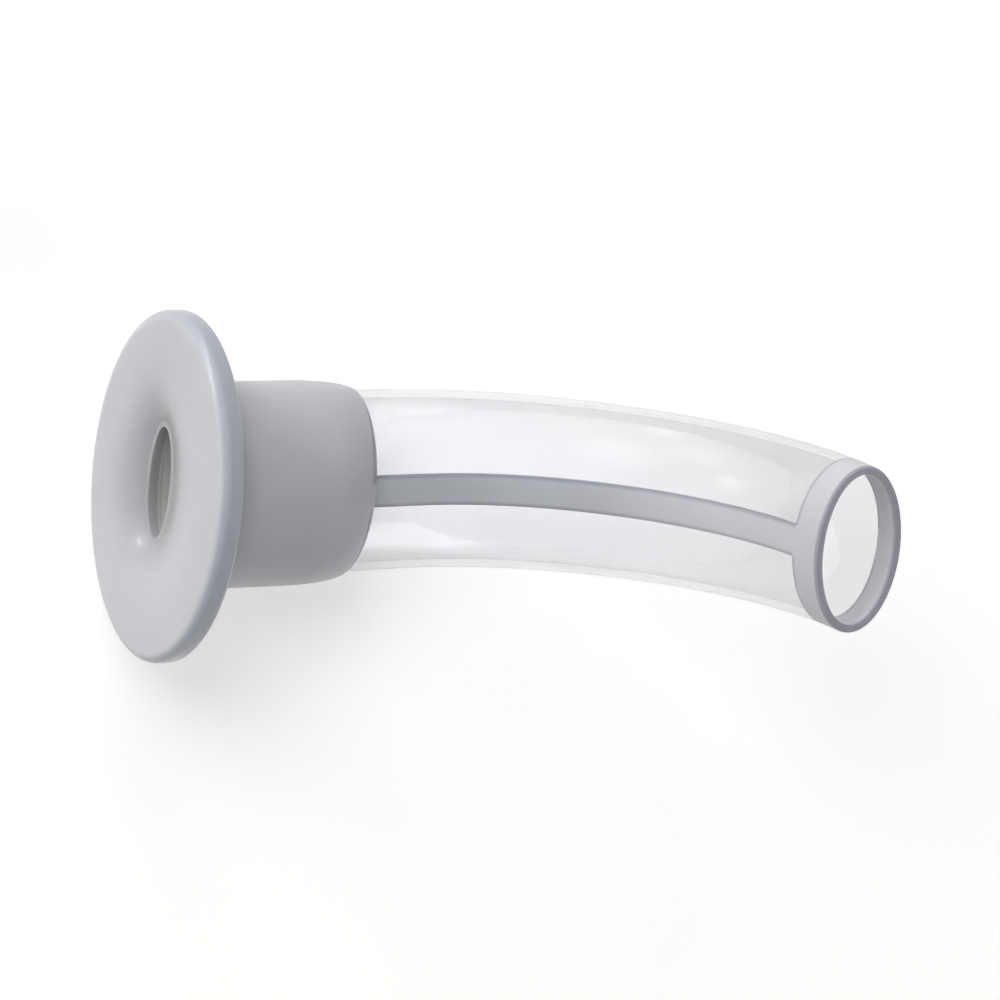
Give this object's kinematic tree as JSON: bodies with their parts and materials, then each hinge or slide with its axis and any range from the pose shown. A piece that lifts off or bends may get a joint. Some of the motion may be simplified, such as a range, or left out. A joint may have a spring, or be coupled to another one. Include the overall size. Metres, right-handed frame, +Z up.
{
  "type": "oropharyngeal airway",
  "caption": "Clear bent oval tube with a soft grey oval flange, bite collar, inner strip and tip ring, lying on the outer side of its bend.",
  "frame": {"origin": "bottom centre of the box round the airway as it lies", "axes": "+Z up; +X from the flange towards the bend and tip, seen from above; +Y across the mouth"},
  "size_m": [0.0656, 0.0312, 0.0307],
  "materials": {
    "clear_plastic": "clear, smooth and glossy",
    "soft_grey": "soft elastomer with a satin sheen"
  },
  "bodies": {
    "root": {"airway_tube": "clear_plastic", "soft_overmould": "soft_grey"}
  },
  "joints": []
}
